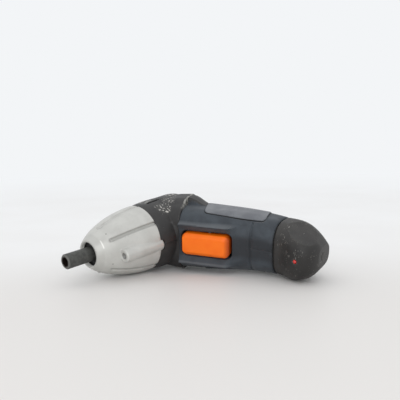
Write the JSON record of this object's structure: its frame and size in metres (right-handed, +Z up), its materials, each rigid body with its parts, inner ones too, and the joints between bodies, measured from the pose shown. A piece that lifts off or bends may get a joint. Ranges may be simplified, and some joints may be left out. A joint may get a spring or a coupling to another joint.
{
  "type": "cordless pistol screwdriver",
  "caption": "Small cordless pistol-grip drill driver with a hex bit holder, grooved silver nose, padded handle, orange forward and reverse rocker and a rechargeable pack in the grip.",
  "frame": {"origin": "centre of the bounding box at table level, with the tool lying on its right side on nose, collar and cap", "axes": "-X forward along the spindle seen from above, +Y to the back of the hand, +Z up from the table; as it lies the spindle points 6.6 degrees down"},
  "size_m": [0.149, 0.1574, 0.0569],
  "materials": {
    "nose": "silver-grey paint, satin, chipped in places",
    "head_plastic": "charcoal, fine texture",
    "grip_rubber": "slate navy, soft matt",
    "rocker_plastic": "orange, satin",
    "badge_plastic": "grey, satin",
    "cap_plastic": "charcoal, fine texture",
    "tool_steel": "dark phosphate",
    "screw_steel": "blackened",
    "bearing_bronze": "sintered bronze",
    "gear_plastic": "natural nylon",
    "seal_rubber": "black, matt",
    "plated_steel": "zinc plated",
    "magnet": "sintered ferrite",
    "copper": "enamelled copper",
    "gear_brass": "turned brass",
    "carbon": "graphite",
    "switch_plastic": "black",
    "cell_wrap": "green shrink sleeve",
    "light_red": "red lens",
    "board": "green laminate",
    "lead_sleeve": "red and black sleeves"
  },
  "bodies": {
    "tool_body": {"battery_cells": "cell_wrap", "battery_leads": "lead_sleeve", "cell_tabs": "plated_steel", "charge_board": "board", "charge_jack": "switch_plastic", "charge_light": "light_red", "dust_seal": "seal_rubber", "end_cap": "cap_plastic", "front_bush": "bearing_bronze", "housing_screws": "screw_steel", "left_badge": "badge_plastic", "left_grip": "grip_rubber", "left_housing": "head_plastic", "motor_brushes": "carbon", "motor_bushes": "bearing_bronze", "motor_can": "plated_steel", "motor_end_bell": "switch_plastic", "motor_leads": "lead_sleeve", "motor_magnets": "magnet", "motor_plate": "plated_steel", "motor_screws": "screw_steel", "motor_terminals": "gear_brass", "nose_cone": "nose", "nose_screws": "screw_steel", "reversing_switch": "switch_plastic", "right_badge": "badge_plastic", "right_grip": "grip_rubber", "right_housing": "head_plastic", "ring_gear": "gear_plastic", "rocker_pin": "plated_steel", "switch_blades": "gear_brass", "thrust_washer": "plated_steel"},
    "spindle": {"spindle": "tool_steel", "bit_magnet": "plated_steel", "output_carrier": "plated_steel", "output_carrier_pins": "plated_steel"},
    "first_stage": {"first_carrier": "gear_plastic", "first_carrier_pins": "plated_steel"},
    "motor_rotor": {"motor_shaft": "plated_steel", "armature": "plated_steel", "armature_windings": "copper", "commutator": "copper", "motor_pinion": "gear_brass"},
    "rocker": {"rocker": "rocker_plastic"},
    "first_planet_1": {"first_planet_1": "gear_plastic"},
    "second_planet_1": {"second_planet_1": "plated_steel"},
    "first_planet_2": {"first_planet_2": "gear_plastic"},
    "second_planet_2": {"second_planet_2": "plated_steel"},
    "first_planet_3": {"first_planet_3": "gear_plastic"},
    "second_planet_3": {"second_planet_3": "plated_steel"}
  },
  "joints": [
    {"name": "spindle_spin", "type": "hinge", "parent": "tool_body", "child": "spindle", "pos_m": [-0.0541, 0.05201, 0.02063], "axis": [-0.9934, 0.013, -0.1142], "continuous": true},
    {"name": "first_stage_spin", "type": "hinge", "parent": "tool_body", "child": "first_stage", "pos_m": [-0.01804, 0.05154, 0.02477], "axis": [-0.9934, 0.013, -0.1142], "continuous": true},
    {"name": "motor_spin", "type": "hinge", "parent": "tool_body", "child": "motor_rotor", "pos_m": [0.0219, 0.05102, 0.02936], "axis": [-0.9934, 0.013, -0.1142], "continuous": true},
    {"name": "first_planet_1_spin", "type": "hinge", "parent": "first_stage", "child": "first_planet_1", "pos_m": [-0.01466, 0.05984, 0.02611], "axis": [-0.9934, 0.013, -0.1142], "continuous": true},
    {"name": "first_planet_2_spin", "type": "hinge", "parent": "first_stage", "child": "first_planet_2", "pos_m": [-0.01382, 0.04814, 0.01751], "axis": [-0.9934, 0.013, -0.1142], "continuous": true},
    {"name": "first_planet_3_spin", "type": "hinge", "parent": "first_stage", "child": "first_planet_3", "pos_m": [-0.0155, 0.04651, 0.03187], "axis": [-0.9934, 0.013, -0.1142], "continuous": true},
    {"name": "second_planet_1_spin", "type": "hinge", "parent": "spindle", "child": "second_planet_1", "pos_m": [-0.0234, 0.05996, 0.02511], "axis": [-0.9934, 0.013, -0.1142], "continuous": true},
    {"name": "second_planet_2_spin", "type": "hinge", "parent": "spindle", "child": "second_planet_2", "pos_m": [-0.02257, 0.04826, 0.0165], "axis": [-0.9934, 0.013, -0.1142], "continuous": true},
    {"name": "second_planet_3_spin", "type": "hinge", "parent": "spindle", "child": "second_planet_3", "pos_m": [-0.02424, 0.04662, 0.03086], "axis": [-0.9934, 0.013, -0.1142], "continuous": true},
    {"name": "rocker_tilt", "type": "hinge", "parent": "tool_body", "child": "rocker", "pos_m": [0.02294, 0.00277, 0.02399], "axis": [-0.1149, -0.1125, 0.987], "range_deg": [-5, 5], "stiffness_Nm_per_rad": 0.4}
  ],
  "couplings": [
    {"joint": "first_stage_spin", "follows": "spindle_spin", "ratio": 5.3333},
    {"joint": "motor_spin", "follows": "spindle_spin", "ratio": 28.444},
    {"joint": "first_planet_1_spin", "follows": "spindle_spin", "ratio": -13.867},
    {"joint": "first_planet_2_spin", "follows": "spindle_spin", "ratio": -13.867},
    {"joint": "first_planet_3_spin", "follows": "spindle_spin", "ratio": -13.867},
    {"joint": "second_planet_1_spin", "follows": "spindle_spin", "ratio": -2.6},
    {"joint": "second_planet_2_spin", "follows": "spindle_spin", "ratio": -2.6},
    {"joint": "second_planet_3_spin", "follows": "spindle_spin", "ratio": -2.6}
  ]
}
